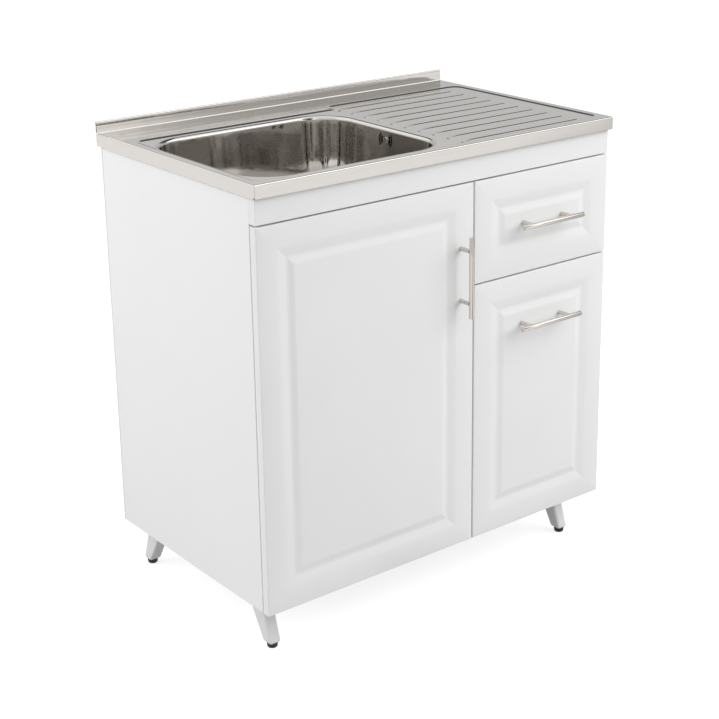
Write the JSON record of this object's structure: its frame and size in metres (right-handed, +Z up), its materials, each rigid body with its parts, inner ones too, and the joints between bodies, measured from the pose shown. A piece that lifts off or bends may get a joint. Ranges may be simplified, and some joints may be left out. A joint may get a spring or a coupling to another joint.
{
  "type": "kitchen sink unit",
  "caption": "White kitchen base cabinet on splayed legs with a pressed steel sink top: bowl on the left, ribbed drainer on the right, a hinged door and drawers with bar handles.",
  "frame": {"origin": "on the floor, at the middle of the footprint of the whole unit with its handles", "axes": "+X to the right along the front, +Y from the front to the wall, +Z up"},
  "size_m": [0.8, 0.5267, 0.875],
  "materials": {
    "stainless_sheet": "pressed stainless sheet, brushed",
    "polished_stainless": "polished stainless steel",
    "white_foil_front": "satin white foil over routed fibreboard",
    "white_board": "satin white melamine on chipboard",
    "white_drawer_board": "white melamine on chipboard",
    "hardboard": "thin hardboard, painted white",
    "satin_nickel": "satin nickel plating",
    "zinc_steel": "bright zinc plating",
    "nickel_steel": "nickel plated pressed steel",
    "white_steel": "white powder coated steel",
    "white_nylon": "moulded nylon",
    "grey_leg_plastic": "moulded, satin light grey",
    "black_glide": "moulded black glide",
    "white_waste_plastic": "moulded polypropylene",
    "black_rubber": "moulded rubber"
  },
  "bodies": {
    "root": {"back_panel": "hardboard", "bottom_panel": "white_board", "cabinet_screws": "zinc_steel", "divider_panel": "white_board", "foot_glides": "black_glide", "front_rail": "white_foil_front", "hinge_arm_pins": "nickel_steel", "hinge_arms": "nickel_steel", "hinge_plates": "nickel_steel", "leg_back_left": "grey_leg_plastic", "leg_back_right": "grey_leg_plastic", "leg_bolts": "zinc_steel", "leg_front_left": "grey_leg_plastic", "leg_front_right": "grey_leg_plastic", "leg_plates": "zinc_steel", "lower_cabinet_runners": "white_steel", "overflow_head": "black_glide", "overflow_pipe": "white_waste_plastic", "rear_rail": "white_board", "side_panel_left": "white_board", "side_panel_right": "white_board", "sink_bowl": "stainless_sheet", "sink_clips": "zinc_steel", "sink_top": "stainless_sheet", "upper_cabinet_runners": "white_steel", "waste_body": "white_waste_plastic", "waste_flange": "polished_stainless", "waste_gasket": "black_rubber", "waste_screws": "polished_stainless"},
    "hinge_links": {"hinge_links": "nickel_steel"},
    "door": {"door_handle_bar": "satin_nickel", "door_handle_posts": "satin_nickel", "door_handle_screws": "zinc_steel", "door_panel": "white_foil_front", "hinge_cup_pins": "nickel_steel", "hinge_cups": "nickel_steel"},
    "upper_drawer": {"upper_drawer_back": "white_drawer_board", "upper_drawer_bottom": "hardboard", "upper_drawer_front": "white_foil_front", "upper_drawer_handle_bar": "satin_nickel", "upper_drawer_handle_posts": "satin_nickel", "upper_drawer_handle_screws": "zinc_steel", "upper_drawer_runners": "white_steel", "upper_drawer_side_left": "white_drawer_board", "upper_drawer_side_right": "white_drawer_board"},
    "lower_drawer": {"lower_drawer_back": "white_drawer_board", "lower_drawer_bottom": "hardboard", "lower_drawer_front": "white_foil_front", "lower_drawer_handle_bar": "satin_nickel", "lower_drawer_handle_posts": "satin_nickel", "lower_drawer_handle_screws": "zinc_steel", "lower_drawer_runners": "white_steel", "lower_drawer_side_left": "white_drawer_board", "lower_drawer_side_right": "white_drawer_board"},
    "strainer_basket": {"strainer_basket": "polished_stainless"},
    "upper_front_rollers": {"upper_front_rollers": "white_nylon"},
    "upper_rear_rollers": {"upper_rear_rollers": "white_nylon"},
    "lower_front_rollers": {"lower_front_rollers": "white_nylon"},
    "lower_rear_rollers": {"lower_rear_rollers": "white_nylon"}
  },
  "joints": [
    {"name": "hinge_link_swing", "type": "hinge", "parent": "root", "child": "hinge_links", "pos_m": [-0.366, -0.20935, 0.4405], "axis": [0, 0, 1], "range_deg": [0, 30]},
    {"name": "door_swing", "type": "hinge", "parent": "hinge_links", "child": "door", "pos_m": [-0.3848, -0.21535, 0.4405], "axis": [0, 0, 1], "range_deg": [-124, 0]},
    {"name": "strainer_lift", "type": "slide", "parent": "root", "child": "strainer_basket", "axis": [0, 0, 1], "range_m": [0, 0.05]},
    {"name": "upper_drawer_slide", "type": "slide", "parent": "root", "child": "upper_drawer", "axis": [0, -1, 0], "range_m": [0, 0.3]},
    {"name": "upper_front_roller_spin", "type": "hinge", "parent": "root", "child": "upper_front_rollers", "pos_m": [0.22505, -0.19335, 0.61135], "axis": [1, 0, 0], "range_deg": [0, 1720]},
    {"name": "upper_rear_roller_spin", "type": "hinge", "parent": "upper_drawer", "child": "upper_rear_rollers", "pos_m": [0.22505, 0.17365, 0.61135], "axis": [1, 0, 0], "range_deg": [0, 1720]},
    {"name": "lower_drawer_slide", "type": "slide", "parent": "root", "child": "lower_drawer", "axis": [0, -1, 0], "range_m": [0, 0.3]},
    {"name": "lower_front_roller_spin", "type": "hinge", "parent": "root", "child": "lower_front_rollers", "pos_m": [0.22505, -0.19335, 0.15195], "axis": [1, 0, 0], "range_deg": [0, 1720]},
    {"name": "lower_rear_roller_spin", "type": "hinge", "parent": "lower_drawer", "child": "lower_rear_rollers", "pos_m": [0.22505, 0.17365, 0.15195], "axis": [1, 0, 0], "range_deg": [0, 1720]}
  ],
  "couplings": [
    {"joint": "hinge_link_swing", "follows": "door_swing", "ratio": -0.24194},
    {"joint": "upper_front_roller_spin", "follows": "upper_drawer_slide", "rad_per_m": 100},
    {"joint": "upper_rear_roller_spin", "follows": "upper_drawer_slide", "rad_per_m": 100},
    {"joint": "lower_front_roller_spin", "follows": "lower_drawer_slide", "rad_per_m": 100},
    {"joint": "lower_rear_roller_spin", "follows": "lower_drawer_slide", "rad_per_m": 100}
  ]
}
